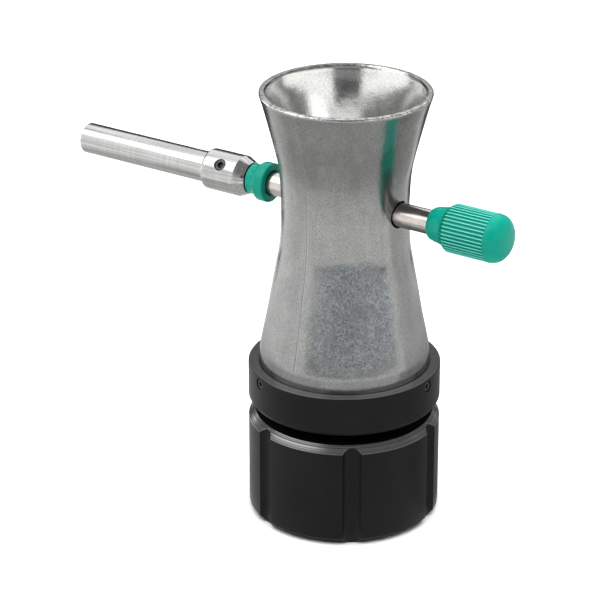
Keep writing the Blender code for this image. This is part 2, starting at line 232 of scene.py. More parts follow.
# ------------------------------------------------------------------ material helpers
class Mat:
    def __init__(self, name):
        self.m = bpy.data.materials.new(name)
        self.m.use_nodes = True
        self.t = self.m.node_tree
        self.b = self.t.nodes["Principled BSDF"]
        self.coord = self.t.nodes.new("ShaderNodeTexCoord").outputs["Object"]

    def new(self, kind, **values):
        node = self.t.nodes.new(kind)
        for key, value in values.items():
            setattr(node, key, value)
        return node

    def link(self, a, b):
        self.t.links.new(a, b)

    def put(self, socket, value):
        if isinstance(value, bpy.types.NodeSocket):
            self.link(value, socket)
        else:
            socket.default_value = value

    def math(self, operation, a, b=0.0, c=0.0, clamp=False):
        node = self.new("ShaderNodeMath", operation=operation, use_clamp=clamp)
        for socket, value in zip(node.inputs, (a, b, c)):
            self.put(socket, value)
        return node.outputs[0]

    def xyz(self, vector=None):
        node = self.new("ShaderNodeSeparateXYZ")
        self.link(vector or self.coord, node.inputs[0])
        return node.outputs

    def scaled(self, sx, sy, sz, vector=None):
        node = self.new("ShaderNodeVectorMath", operation="MULTIPLY")
        self.link(vector or self.coord, node.inputs[0])
        node.inputs[1].default_value = (sx, sy, sz)
        return node.outputs[0]

    def noise(self, scale, detail=2.0, rough=0.5, vector=None, distortion=0.0):
        node = self.new("ShaderNodeTexNoise")
        self.link(vector or self.coord, node.inputs["Vector"])
        node.inputs["Scale"].default_value = scale
        node.inputs["Detail"].default_value = detail
        node.inputs["Roughness"].default_value = rough
        node.inputs["Distortion"].default_value = distortion
        return node.outputs["Fac"]

    def voronoi(self, scale, vector=None, feature="F1"):
        node = self.new("ShaderNodeTexVoronoi", feature=feature)
        self.link(vector or self.coord, node.inputs["Vector"])
        node.inputs["Scale"].default_value = scale
        return node.outputs["Distance"]

    def remap(self, value, a, b, c=0.0, d=1.0, kind="SMOOTHSTEP"):
        node = self.new("ShaderNodeMapRange", interpolation_type=kind, clamp=True)
        self.put(node.inputs["Value"], value)
        node.inputs["From Min"].default_value = a
        node.inputs["From Max"].default_value = b
        node.inputs["To Min"].default_value = c
        node.inputs["To Max"].default_value = d
        return node.outputs["Result"]

    def mix(self, factor, a, b):
        node = self.new("ShaderNodeMix", data_type="RGBA")
        self.put(node.inputs[0], factor)
        self.put(node.inputs[6], a if isinstance(a, bpy.types.NodeSocket) else (*a, 1.0))
        self.put(node.inputs[7], b if isinstance(b, bpy.types.NodeSocket) else (*b, 1.0))
        return node.outputs[2]

    def blend(self, factor, a, b):
        node = self.new("ShaderNodeMix", data_type="FLOAT")
        self.put(node.inputs[0], factor)
        self.put(node.inputs[2], a)
        self.put(node.inputs[3], b)
        return node.outputs[0]

    def bump(self, height, strength, distance, under=None):
        node = self.new("ShaderNodeBump")
        node.inputs["Strength"].default_value = strength
        node.inputs["Distance"].default_value = distance
        self.link(height, node.inputs["Height"])
        if under is not None:
            self.link(under, node.inputs["Normal"])
        return node.outputs["Normal"]

    def set(self, **values):
        names = {"color": "Base Color", "rough": "Roughness", "metal": "Metallic", "normal": "Normal", "specular": "Specular IOR Level",
                 "coat": "Coat Weight", "coat_rough": "Coat Roughness", "ior": "IOR", "sss": "Subsurface Weight", "sss_scale": "Subsurface Scale"}
        for key, value in values.items():
            socket = self.b.inputs[names[key]]
            if key == "color" and not isinstance(value, bpy.types.NodeSocket):
                value = (*value, 1.0)
            self.put(socket, value)
        return self.m


# camera's bearing, shared by the camera, the lights and nothing else
CAM_AZ = math.radians(33.25)


SEAM = math.radians(-92.5)        # bearing of the parting line on the front half


def cast_aluminium():
    m = Mat("cast_aluminium")
    x, y, z = m.xyz()
    grain = m.noise(2300, 2, 0.6)
    fine = m.noise(1300, 3, 0.6)
    pits = m.noise(520, 4, 0.62, distortion=0.4)
    cloud = m.noise(90, 4, 0.6)
    broad = m.noise(28, 2, 0.5)
    streaks = m.noise(420, 3, 0.6, vector=m.scaled(1, 1, 0.16))
    # the lower cone has a coarser, blotchy skin all the way round
    low = m.math("ADD", z, m.math("MULTIPLY", m.math("SUBTRACT", m.noise(150, 3, 0.6), 0.5), 0.012))
    skin = m.math("MULTIPLY", m.remap(low, 0.0485, 0.0545), m.remap(low, 0.0860, 0.0800))
    speck = m.remap(m.noise(1500, 5, 0.74, distortion=0.7), 0.38, 0.60)
    cracks = m.remap(m.math("ABSOLUTE", m.math("SUBTRACT", m.noise(260, 5, 0.70, distortion=1.2), 0.5)), 0.035, 0.008)
    blots = m.remap(m.noise(230, 4, 0.6, distortion=0.8), 0.44, 0.62)
    # one rough, darker bluish-grey patch on the front at a fixed bearing: its mottling is real casting skin, its dark
    # bluish tone is a painted reflection of dark surroundings
    angle = m.math("ARCTAN2", x, m.math("MULTIPLY", y, -1.0))
    off_a = m.math("DIVIDE", m.math("SUBTRACT", angle, math.radians(41)), math.radians(34))
    off_z = m.math("DIVIDE", m.math("SUBTRACT", z, 0.0700), 0.0166)
    reach = m.math("ADD", m.math("POWER", m.math("ABSOLUTE", off_a), 3.0), m.math("POWER", m.math("ABSOLUTE", off_z), 3.6))
    mottle_and_painted_reflection = m.remap(m.math("ADD", reach, m.math("MULTIPLY", m.math("SUBTRACT", m.noise(300, 4, 0.65), 0.5), 1.5)), 1.20, 0.40)
    metal = m.mix(m.remap(cloud, 0.3, 0.7), (0.250, 0.251, 0.248), (0.305, 0.306, 0.302))
    metal = m.mix(m.math("MULTIPLY", m.remap(streaks, 0.40, 0.66), 0.35), metal, (0.345, 0.346, 0.341))
    metal = m.mix(m.remap(grain, 0.38, 0.60, 0.48, 0.0), metal, (0.160, 0.161, 0.160))
    metal = m.mix(m.math("MULTIPLY", m.remap(pits, 0.36, 0.27), 0.55), metal, (0.130, 0.130, 0.130))
    # bluish-grey tones for the real casting skin all round and for the front patch, where the dark tone is a painted
    # reflection
    skin_and_reflection_tone = m.mix(speck, (0.120, 0.136, 0.154), (0.345, 0.368, 0.388))
    skin_and_reflection_tone = m.mix(m.math("MULTIPLY", cracks, 0.55), skin_and_reflection_tone, (0.060, 0.070, 0.082))
    skin_and_reflection_tone = m.mix(m.math("MULTIPLY", blots, 0.28), skin_and_reflection_tone, (0.088, 0.102, 0.118))
    # the front patch is mixed in strongly here: painted reflection over real mottling; the skin all round is mixed in
    # weakly
    colour = m.mix(m.math("MAXIMUM", m.math("MULTIPLY", skin, 0.12), m.math("MULTIPLY", mottle_and_painted_reflection, 0.66)), metal, skin_and_reflection_tone)
    # parting line of the two mould halves, with a paler bead beside it
    across = m.math("SUBTRACT", m.math("MULTIPLY", x, math.sin(SEAM)), m.math("MULTIPLY", y, math.cos(SEAM)))
    broken = m.remap(m.noise(160, 2), 0.35, 0.65, 0.25, 1.0)
    outer = m.remap(m.math("POWER", m.math("ADD", m.math("MULTIPLY", x, x), m.math("MULTIPLY", y, y)), 0.5), 0.0170, 0.0176)
    seam = m.math("MULTIPLY", m.math("MULTIPLY", m.remap(m.math("ABSOLUTE", across), 0.00020, 0.00005), broken), outer)
    bead = m.math("MULTIPLY", m.math("MULTIPLY", m.remap(m.math("ABSOLUTE", m.math("ADD", across, 0.00034)), 0.00020, 0.00006), broken), outer)
    colour = m.mix(m.math("MULTIPLY", seam, 0.45), colour, (0.13, 0.13, 0.13))
    colour = m.mix(m.math("MULTIPLY", bead, 0.35), colour, (0.50, 0.50, 0.49))
    rough = m.math("ADD", m.remap(cloud, 0.25, 0.75, 0.15, 0.23), m.math("MULTIPLY", mottle_and_painted_reflection, 0.05))
    rough = m.math("ADD", rough, m.math("MULTIPLY", seam, 0.2))
    height = m.math("ADD", m.math("MULTIPLY", grain, 0.30), m.math("MULTIPLY", pits, 0.9))
    height = m.math("ADD", height, m.math("MULTIPLY", fine, 0.35))
    height = m.math("ADD", height, m.math("MULTIPLY", broad, 1.5))
    height = m.math("ADD", height, m.math("MULTIPLY", m.math("MULTIPLY", m.math("ADD", speck, blots), m.math("ADD", m.math("MULTIPLY", skin, 0.3), mottle_and_painted_reflection)), 0.5))
    return m.set(color=colour, rough=rough, metal=1.0, normal=m.bump(height, 0.50, 0.00004))


def cast_inside():
    m = Mat("cast_aluminium_inside")
    grain = m.noise(1900, 3, 0.6)
    pits = m.noise(480, 4, 0.65, distortion=0.5)
    cloud = m.noise(120, 4, 0.6)
    broad = m.noise(46, 3, 0.55)
    colour = m.mix(m.remap(cloud, 0.3, 0.7), (0.67, 0.67, 0.66), (0.76, 0.76, 0.75))
    colour = m.mix(m.remap(grain, 0.38, 0.62, 0.40, 0.0), colour, (0.50, 0.50, 0.50))
    colour = m.mix(m.math("MULTIPLY", m.remap(pits, 0.40, 0.26), 0.5), colour, (0.2, 0.2, 0.21))
    height = m.math("ADD", m.math("MULTIPLY", grain, 0.6), m.math("MULTIPLY", pits, 1.2))
    height = m.math("ADD", height, m.math("MULTIPLY", broad, 3.0))
    rough = m.remap(cloud, 0.25, 0.75, 0.145, 0.21)
    return m.set(color=colour, rough=rough, metal=1.0, normal=m.bump(height, 0.65, 0.00004))


def machined_rim():
    m = Mat("machined_rim")
    x, y, z = m.xyz()
    radius = m.math("POWER", m.math("ADD", m.math("MULTIPLY", x, x), m.math("MULTIPLY", y, y)), 0.5)
    rings = m.new("ShaderNodeCombineXYZ")
    m.link(radius, rings.inputs[0])
    m.link(z, rings.inputs[1])
    lines = m.noise(9000, 2, 0.6, vector=rings.outputs[0])
    nicks = m.noise(650, 4, 0.72)
    colour = m.mix(m.remap(nicks, 0.35, 0.6), (0.24, 0.24, 0.24), (0.60, 0.60, 0.595))
    height = m.math("ADD", lines, m.math("MULTIPLY", nicks, 0.8))
    return m.set(color=colour, rough=m.remap(nicks, 0.3, 0.7, 0.28, 0.16), metal=1.0, normal=m.bump(height, 0.35, 0.00003))


def black_anodised(name, cone=None, face=None):
    """Satin black with fine turning lines. cone is (radius + height, half width) of a chamfer cut bright; face is (height, strength) of a polished top."""
    m = Mat(name)
    x, y, z = m.xyz()
    radius = m.math("POWER", m.math("ADD", m.math("MULTIPLY", x, x), m.math("MULTIPLY", y, y)), 0.5)
    joined = m.new("ShaderNodeCombineXYZ")
    m.link(radius, joined.inputs[0])
    m.link(z, joined.inputs[2])
    lines = m.noise(5200, 2, 0.55, vector=joined.outputs[0])
    coarse = m.noise(1500, 3, 0.6, vector=joined.outputs[0])
    cloud = m.noise(60, 3, 0.6)
    specks = m.noise(2600, 2, 0.7)
    dark = m.mix(m.remap(cloud, 0.3, 0.7), (0.0028, 0.0028, 0.0031), (0.0048, 0.0048, 0.0051))
    dark = m.mix(m.math("MULTIPLY", m.remap(specks, 0.66, 0.74), 0.20), dark, (0.03, 0.03, 0.03))
    rough = m.remap(cloud, 0.25, 0.75, 0.32, 0.40)
    metal = 0.0
    if cone is not None:
        off = m.math("ABSOLUTE", m.math("SUBTRACT", m.math("ADD", radius, z), cone[0]))
        cut = m.math("MULTIPLY", m.remap(off, cone[1] + 0.00005, cone[1] - 0.00003), m.remap(coarse, 0.3, 0.7, 0.55, 1.0))
        shine = m.mix(m.remap(lines, 0.3, 0.7), (0.075, 0.075, 0.078), (0.25, 0.25, 0.255))
        dark = m.mix(cut, dark, shine)
        rough = m.blend(cut, rough, 0.20)
        metal = cut
    if face is not None:
        top = m.math("MULTIPLY", m.remap(z, face[0] - 0.00009, face[0] - 0.00003), m.remap(coarse, 0.35, 0.65, 0.6, 1.0))
        dark = m.mix(m.math("MULTIPLY", top, face[1]), dark, (0.26, 0.26, 0.26))
        rough = m.blend(top, rough, 0.13)
        metal = m.math("MULTIPLY", top, face[1])
    height = m.math("ADD", lines, m.math("MULTIPLY", coarse, 0.7))
    return m.set(color=dark, rough=rough, metal=metal, specular=0.18, normal=m.bump(height, 0.10, 0.00002))


def turned_aluminium():
    m = Mat("turned_aluminium")
    fine = m.noise(7000, 2, 0.6, vector=m.scaled(1, 0.02, 0.02))
    wide = m.noise(1300, 3, 0.6, vector=m.scaled(1, 0.03, 0.03))
    drawn = m.noise(1500, 3, 0.6, vector=m.scaled(0.02, 1, 1))
    cloud = m.noise(140, 3, 0.6)
    colour = m.mix(m.remap(wide, 0.3, 0.7), (0.45, 0.45, 0.446), (0.52, 0.52, 0.515))
    colour = m.mix(m.remap(drawn, 0.36, 0.64, 0.60, 0.0), colour, (0.26, 0.26, 0.26))
    colour = m.mix(m.math("MULTIPLY", m.remap(cloud, 0.55, 0.8), 0.3), colour, (0.42, 0.42, 0.42))
    height = m.math("ADD", m.math("ADD", m.math("MULTIPLY", fine, 0.6), m.math("MULTIPLY", wide, 0.3)), m.math("MULTIPLY", drawn, 1.2))
    return m.set(color=colour, rough=m.remap(wide, 0.3, 0.7, 0.15, 0.24), metal=1.0, normal=m.bump(height, 0.22, 0.00002))


def tube_steel():
    m = Mat("tube_steel")
    drawn = m.noise(1400, 3, 0.6, vector=m.scaled(0.03, 1, 1))
    cloud = m.noise(260, 4, 0.6)
    colour = m.mix(m.remap(cloud, 0.3, 0.7), (0.440, 0.412, 0.385), (0.560, 0.532, 0.505))
    height = m.math("ADD", m.math("MULTIPLY", drawn, 0.8), m.math("MULTIPLY", m.noise(1800, 3, 0.6), 0.5))
    return m.set(color=colour, rough=m.remap(cloud, 0.25, 0.75, 0.18, 0.28), metal=1.0, normal=m.bump(height, 0.16, 0.00002))


def green_plastic(name, ribs=None):
    m = Mat(name)
    cloud = m.noise(110, 3, 0.6)
    grain = m.noise(2400, 2, 0.6)
    colour = m.mix(m.remap(cloud, 0.3, 0.7), (0.0, 0.245, 0.178), (0.0, 0.280, 0.206))
    if ribs is not None:
        x, y, z = m.xyz()
        up = m.math("SUBTRACT", z, TUBE_Z * MM)
        radius = m.math("POWER", m.math("ADD", m.math("MULTIPLY", y, y), m.math("MULTIPLY", up, up)), 0.5)
        inside = m.math("MULTIPLY", m.remap(x, ribs[0], ribs[0] + 0.0003), m.remap(x, ribs[1] + 0.0001, ribs[1] - 0.0001))
        # painted highlight: the crests are painted pale where they catch the light; painted shade: the valleys are
        # painted dark
        crest_painted_highlight = m.math("MULTIPLY", m.remap(radius, ribs[2] - 0.00017, ribs[2] - 0.00003), inside)
        valley_painted_shade = m.math("MULTIPLY", m.remap(radius, ribs[2] - 0.00030, ribs[2] - 0.00044), inside)
        # painted shade in the valleys, then a painted highlight along the crests
        colour = m.mix(m.math("MULTIPLY", valley_painted_shade, 0.20), colour, (0.0, 0.17, 0.118))
        colour = m.mix(m.math("MULTIPLY", crest_painted_highlight, 0.75), colour, (0.15, 0.68, 0.59))
    return m.set(color=colour, rough=m.remap(cloud, 0.25, 0.75, 0.20, 0.27), metal=0.0, specular=0.15,
                 normal=m.bump(m.math("ADD", grain, m.math("MULTIPLY", cloud, 2.0)), 0.12, 0.00002))


def black_oxide():
    m = Mat("black_oxide_screw")
    cloud = m.noise(1500, 3, 0.6)
    colour = m.mix(m.remap(cloud, 0.35, 0.7), (0.026, 0.026, 0.028), (0.085, 0.083, 0.082))
    return m.set(color=colour, rough=m.remap(cloud, 0.3, 0.7, 0.28, 0.42), metal=0.55, normal=m.bump(cloud, 0.2, 0.00002))


def zinc_plate():
    m = Mat("zinc_plate")
    cloud = m.noise(300, 4, 0.6)
    colour = m.mix(m.remap(cloud, 0.3, 0.7), (0.50, 0.50, 0.50), (0.62, 0.62, 0.60))
    return m.set(color=colour, rough=m.remap(cloud, 0.3, 0.7, 0.28, 0.4), metal=1.0, normal=m.bump(cloud, 0.15, 0.00002))


def rubber():
    m = Mat("black_rubber")
    cloud = m.noise(500, 4, 0.6)
    grain = m.noise(3000, 2, 0.7)
    colour = m.mix(m.remap(cloud, 0.3, 0.7), (0.014, 0.014, 0.014), (0.026, 0.026, 0.025))
    return m.set(color=colour, rough=m.remap(cloud, 0.3, 0.7, 0.62, 0.8), metal=0.0, normal=m.bump(grain, 0.3, 0.00003))


CAST, INSIDE, RIM = cast_aluminium(), cast_inside(), machined_rim()
BASE_BLACK = black_anodised("black_anodised_base", cone=((BASE_R + BASE_Z1 - 2.1) * MM, 0.00012))
RING_BLACK = black_anodised("black_anodised_ring", face=(RING_Z1 * MM, 0.50))
STEM_BLACK = black_anodised("black_anodised_stem")
TURNED, STEEL, RUBBER, OXIDE, ZINC = turned_aluminium(), tube_steel(), rubber(), black_oxide(), zinc_plate()
GREEN = green_plastic("green_plastic")
GREEN_KNOB = green_plastic("green_plastic_knob", (0.0352, 0.0500, KNOB_R * MM))


def dress(obj, *materials):
    obj.data.materials.clear()
    for material in materials:
        obj.data.materials.append(material)
    return obj


def piece(obj, body, slot, *replaced):
    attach(obj, body)
    if replaced:
        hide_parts(*replaced)
    return obj


# ------------------------------------------------------------------ hopper casting
OUTSIDE = (
    (25.3, 50.1), (25.10, 52.6), (24.22, 57.3), (23.15, 62.5), (22.43, 66.5), (21.55, 71.5), (20.3, 78.5), (19.2, 85.5),
    (18.72, 95.5), (18.77, 100.5), (19.08, 106.0), (19.57, 110.0), (20.38, 113.7), (22.24, 121.0), (24.06, 128.0), (25.0, 131.1),
)


def spline(stations):
    heights = [z for _, z in stations]
    radii = [r for r, _ in stations]
    last = len(stations) - 1
    slopes = [(radii[min(i + 1, last)] - radii[max(i - 1, 0)]) / (heights[min(i + 1, last)] - heights[max(i - 1, 0)]) for i in range(last + 1)]

    def radius(z):
        i = 0
        while i < last - 1 and z > heights[i + 1]:
            i += 1
        span = heights[i + 1] - heights[i]
        t = (z - heights[i]) / span
        return ((2 * t**3 - 3 * t**2 + 1) * radii[i] + (t**3 - 2 * t**2 + t) * span * slopes[i]
                + (-2 * t**3 + 3 * t**2) * radii[i + 1] + (t**3 - t**2) * span * slopes[i + 1])

    return radius


outside = spline(OUTSIDE)


def hopper():
    rim_r = OUTSIDE[-1][0]
    line, kinds = [], []

    def add(points, kind):
        for p in points:
            line.append(p)
            kinds.append(kind)

    # bowl and funnel, from the lowest point up
    bowl_top, bowl_low = 106.0, 92.0
    bowl_r = outside(bowl_top) - 3.2
    bowl = [(bowl_r * math.sin(math.pi / 2 * k / 26) if k else 0.0, bowl_top - (bowl_top - bowl_low) * math.cos(math.pi / 2 * k / 26)) for k in range(27)]
    add(bowl, "in")
    top = RIM_Z - 0.55
    funnel = []
    for k in range(1, 41):
        z = bowl_top + (top - bowl_top) * k / 40
        wall = 3.2 + (2.05 - 3.2) * k / 40
        funnel.append((outside(min(z, 131.1)) - wall, z))
    add(funnel, "in")
    inner = funnel[-1][0]
    rim = rounded([(inner, top), (inner + 0.55, RIM_Z, 0.15), (rim_r - 0.01, RIM_Z, 0.45), (rim_r - 0.01, 130.9)], count=6)[1:-1]
    add(rim, "rim")
    z = 131.05
    while z > 51.1:
        add([(outside(z), z)], "out")
        z -= 0.75
    foot_r = OUTSIDE[0][0]
    foot = rounded([(outside(51.1), 51.1), (foot_r, 49.7, 0.8), (foot_r, FOOT_Z, 0.5), (foot_r - 3.2, FOOT_Z, 0.2), (foot_r - 3.2, 43.5)], count=4)[1:]
    add(dense(foot, 1.5), "foot")
    for k in range(1, 13):
        z = 43.5 + (80.5 - 43.5) * k / 12
        add([((foot_r if z < 50.1 else outside(z)) - 3.2, z)], "skirt")
    dome = line[-1][0]
    for k in range(1, 9):
        a = math.pi / 2 * k / 8
        add([(dome * math.cos(a) if k < 8 else 0.0, 80.5 + 6.5 * math.sin(a))], "skirt")
    # more points near the two parting lines
    base_angles = even(232)
    extra = [s + d * math.radians(0.22) for s in (SEAM, SEAM + math.pi) for d in (-4, -3, -2, -1, 0, 1, 2, 3, 4)]
    angles = np.unique(np.round(np.mod(np.concatenate([base_angles, extra]), TAU), 6))
    keep = [angles[0]]
    for a in angles[1:]:
        near = min(abs(math.remainder(a - s, TAU)) for s in (SEAM, SEAM + math.pi)) < math.radians(1.2)
        if a - keep[-1] > math.radians(0.15 if near else 0.4):
            keep.append(a)
    angles = np.array(keep)

    def radius_of(r, z, a, i):
        kind = kinds[i]
        if kind not in ("out", "in"):
            return np.full(len(a), r)
        out = np.full(len(a), r)
        wave = np.array([mnoise.noise(Vector((r * math.cos(t) * 0.11, r * math.sin(t) * 0.11, z * 0.09 + (7 if kind == "in" else 0)))) for t in a])
        fine = np.array([mnoise.noise(Vector((r * math.cos(t) * 0.55, r * math.sin(t) * 0.55, z * 0.5 + 31))) for t in a])
        fade = min(1.0, max(0.0, (131.1 - z) / 4)) * min(1.0, max(0.0, (z - 50.5) / 3))
        out -= (0.05 * (0.5 + wave) + 0.012 * (0.5 + fine)) * fade
        if kind == "out":
            for s in (SEAM, SEAM + math.pi):
                arc = np.abs((a - s + math.pi) % TAU - math.pi) * r
                level = 0.55 + 0.45 * mnoise.noise(Vector((0, s, z * 0.13)))
                out += 0.075 * level * np.exp(-(arc / 0.11) ** 2) * fade - 0.03 * np.exp(-((arc - 0.32) / 0.14) ** 2) * fade
            # one mould half stands a hair proud of the other
            out -= 0.02 * (np.cos(a) > 0) * fade
        return out

    obj = dress(revolve("hopper_casting", line, angles, radius_of), CAST, INSIDE, RIM)
    # material by ring: faces come row by row
    per_row = len(angles)
    for index, poly in enumerate(obj.data.polygons):
        row = min(index // per_row, len(kinds) - 1)
        kind = kinds[min(row + 1, len(kinds) - 1)]
        poly.material_index = {"in": 1, "rim": 2}.get(kind, 0)
    r = TUBE_R + 0.35
    bore = turned_cutter([(0, 30), (r, 30), (r, -30), (0, -30)], at(z=TUBE_Z) @ ALONG_X, 96)
    bore.data.materials.append(CAST)
    subtract(obj, [bore])
    smooth(obj, 40)
    return piece(obj, "head", "cast_aluminium", "hopper")


hopper()

# ------------------------------------------------------------------ base
FLUTES, FLUTE_R, FLUTE_DEPTH, FLUTE_START = 6, 3.3, 1.6, math.radians(-51.8)


def base():
    R, z0, z1 = BASE_R, BASE_Z0, BASE_Z1
    chamfer, edge = 2.1, 1.8
    profile = rounded([
        (17.3, z1 - 0.9), (18.2, z1, 0.05), (R - chamfer, z1, 0.12), (R, z1 - chamfer, 0.10), (R, z0 + edge, 0.25), (R - edge, z0, 0.2),
        (pad_hi[0] + 0.25, z0, 0.1), (pad_hi[0] + 0.25, 1.9, 0.1), (20.0, 1.9, 0.1), (20.0, 23.7, 0.1), (17.3, 23.7, 0.1),
    ], closed=True, count=4)
    line = []
    for p, q in zip(profile, profile[1:] + profile[:1]):
        # close rows where the flutes run out through the two chamfers
        slope = min(p[0], q[0]) > R - 2.3 and abs(p[0] - q[0]) > 0.3 and abs(p[1] - q[1]) > 0.3
        line += dense([p, q], 0.11 if slope else 1.6)[:-1]
    centre = R - FLUTE_DEPTH + FLUTE_R
    half = math.asin(min(1.0, FLUTE_R / centre))
    span = half * 1.25
    near = []
    for i in range(FLUTES):
        middle = FLUTE_START + TAU * i / FLUTES
        near += list(middle + np.linspace(-span, span, 49))
    spread = []
    for i in range(FLUTES):
        middle = FLUTE_START + TAU * i / FLUTES
        spread += list(np.linspace(middle + span, middle + TAU / FLUTES - span, 34)[1:-1])
    angles = np.sort(np.mod(np.array(near + spread), TAU))

    def wall(a):
        """Radius of the flute's wall along the bearing a, infinite where there is none."""
        found = np.full(len(a), 1e3)
        for i in range(FLUTES):
            d = (a - (FLUTE_START + TAU * i / FLUTES) + math.pi) % TAU - math.pi
            inside = FLUTE_R**2 - (centre * np.sin(d)) ** 2
            ok = (inside > 0) & (np.abs(d) < half)
            found[ok] = np.minimum(found[ok], centre * np.cos(d[ok]) - np.sqrt(inside[ok]))
        return found

    limit = wall(angles)

    def radius_of(r, z, a, i):
        if r < 26.0:
            return np.full(len(a), r)
        k = 0.14
        h = np.clip(0.5 + 0.5 * (limit - r) / k, 0, 1)
        out = np.where(limit > 900, r, limit * (1 - h) + r * h - k * h * (1 - h))
        return out

    obj = revolve("fluted_base", line, angles, radius_of, closed=True)
    smooth(dress(obj, BASE_BLACK), 38)
    return piece(obj, "stand", "black_anodised", "base")


base()


def foot_pad():
    R, z0, z1 = pad_hi[0], pad_lo[2], pad_hi[2]
    profile = [(0, z1), (R - 0.3, z1), (R, z1 - 0.3), (R, z0 + 0.25), (R - 0.25, z0)]
    # concentric anti-slip grooves on the underside
    r = R - 1.6
    while r > 4.5:
        profile += [(r, z0), (r - 0.25, z0 + 0.45), (r - 0.95, z0 + 0.45), (r - 1.2, z0)]
        r -= 3.0
    profile.append((0, z0))
    obj = revolve("rubber_foot_pad", profile, even(128))
    smooth(dress(obj, RUBBER), 30)
    return piece(obj, "stand", "rubber", "foot_pad")


foot_pad()


# ------------------------------------------------------------------ clamp ring
RING_SCREW_DEG = (2.5, 122.5, 242.5)
RING_SCREW_Z = (box_mm("ring_screw_1")[0][2] + box_mm("ring_screw_1")[1][2]) / 2


def ring():
    R, z0, z1 = RING_R, RING_Z0, RING_Z1
    profile = rounded([
        (25.42, z1, 0.05), (R - 0.26, z1, 0.06), (R, z1 - 0.26, 0.08), (R, z0 + 1.3, 0.2), (R - 0.9, z0, 0.15),
        (3.4, z0), (3.4, 36.2), (6.3, 39.1), (6.3, 39.8), (25.42, 39.8),
    ], closed=True, count=4)
    obj = revolve("clamp_ring", dense(profile, 2.2, closed=True), even(216), closed=True)
    cutters = []
    for degrees in RING_SCREW_DEG:
        turn = Matrix.Rotation(math.radians(degrees), 4, "Z") @ at(z=RING_SCREW_Z) @ ALONG_X
        cutters.append(turned_cutter([(0, R + 2), (1.66 + 2.25, R + 2), (1.66, R - 0.25), (1.66, 24.5), (0, 24.5)], turn, 40))
    subtract(obj, cutters)
    smooth(dress(obj, RING_BLACK), 38)
    return piece(obj, "head", "black_anodised", "mounting_ring")


ring()


def hex_screw(name, radius, tip, top, socket, matrix):
    """Headless screw with a chamfered hexagon socket and a thread, along the matrix's Z."""
    n = 72
    angles = even(n)
    hexagon = socket / np.cos((angles + math.pi / 6) % (math.pi / 3) - math.pi / 6)
    rows = []

    def add(r, z):
        rows.append(([r] * n if np.isscalar(r) else list(r), z))

    add(0.0, top - 1.45)
    add(hexagon * 0.96, top - 1.25)
    add(hexagon, top - 0.18)
    add(np.full(n, socket * 1.22), top - 0.02)
    add(radius - 0.42, top)
    add(radius - 0.26, top - 0.03)
    pitch, z, lead = 0.6, top - 0.30, 0
    add(radius - 0.10, z)
    while z - pitch > tip + 0.4:
        add(radius, z - pitch * 0.12)
        add(radius, z - pitch * 0.38)
        add(radius - 0.22, z - pitch * 0.62)
        add(radius - 0.22, z - pitch * 0.80)
        z -= pitch
    add(radius - 0.1, tip + 0.35)
    add(radius - 0.5, tip)
    add(0.0, tip)
    verts, index = [], []
    for radii, z in rows:
        if max(radii) < 1e-9:
            index.append([len(verts)])
            verts.append((0, 0, z))
            continue
        index.append(list(range(len(verts), len(verts) + n)))
        verts += [(r * math.cos(a), r * math.sin(a), z) for r, a in zip(radii, angles)]
    faces = []
    for top_row, low_row in zip(index[:-1], index[1:]):
        for j in range(n):
            k = (j + 1) % n
            if len(top_row) == 1:
                faces.append((top_row[0], low_row[j], low_row[k]))
            elif len(low_row) == 1:
                faces.append((top_row[j], low_row[0], top_row[k]))
            else:
                faces.append((top_row[j], low_row[j], low_row[k], top_row[k]))
    obj = mesh_object(name, verts, faces)
    obj.data.transform(matrix)
    return smooth(dress(obj, OXIDE), 30)


for number, degrees in enumerate(RING_SCREW_DEG, 1):
    turn = Matrix.Rotation(math.radians(degrees), 4, "Z") @ at(z=RING_SCREW_Z) @ ALONG_X
    screw = hex_screw(f"ring_set_screw_{number}", 1.60, 25.35, RING_R - 0.30, 0.80, turn)
    piece(screw, "head", "black_screw", f"ring_screw_{number}")


# ------------------------------------------------------------------ threaded stem
def stem():
    z0, z1, R, lead, depth = stem_lo[2], stem_hi[2], stem_hi[0], 3.0, 1.5
    line = [(0, 23.1), (3.3, 23.1), (3.3, z1), (R - depth - 0.2, z1)]
    z = z1 - 0.35
    while z > z0 + 0.05:
        line.append((R, z))
        z -= 0.15
    line += [(R - depth, z0), (2.8, z0), (2.8, 21.1), (0, 21.1)]

    def radius_of(r, z, a, i):
        if r < R - 0.01:
            return np.full(len(a), r)
        phase = ((z - z0) / lead - a / TAU) % 1.0
        tri = np.abs(phase - 0.5) * 2
        trapezoid = np.clip((tri - 0.28) / 0.44, 0, 1)
        run_out = min(1.0, max(0.0, (z - z0) / 1.2))
        return R - depth * trapezoid - (1 - run_out) * 0.6

    obj = revolve("threaded_stem_screw", line, even(120), radius_of)
    smooth(dress(obj, STEM_BLACK), 32)
    return piece(obj, "head", "black_anodised", "threaded_stem")


stem()


# ------------------------------------------------------------------ pieces along the tube
def along(name, profile, n, closed=True, radius_of=None, count=5, step=None, material=None, angle=35):
    line = rounded(profile, closed=closed, count=count)
    if step:
        line = dense(line, step, closed=closed)
    obj = revolve(name, line, even(n), radius_of, closed=closed, along_x=True, shift_z=TUBE_Z)
    if material:
        dress(obj, material)
    return smooth(obj, angle)


for side, node in ((1, "tube_seal_right"), (-1, "tube_seal_left")):
    lo, hi = sorted((side * 15.3, side * 17.4))
    seal = along(f"{node}_ring", [(TUBE_R + 0.32, hi, 0.1), (TUBE_R + 0.32, lo, 0.1), (TUBE_R + 0.05, lo, 0.05), (TUBE_R + 0.05, hi, 0.05)], 96, material=RUBBER)
    piece(seal, "head", "rubber", node)


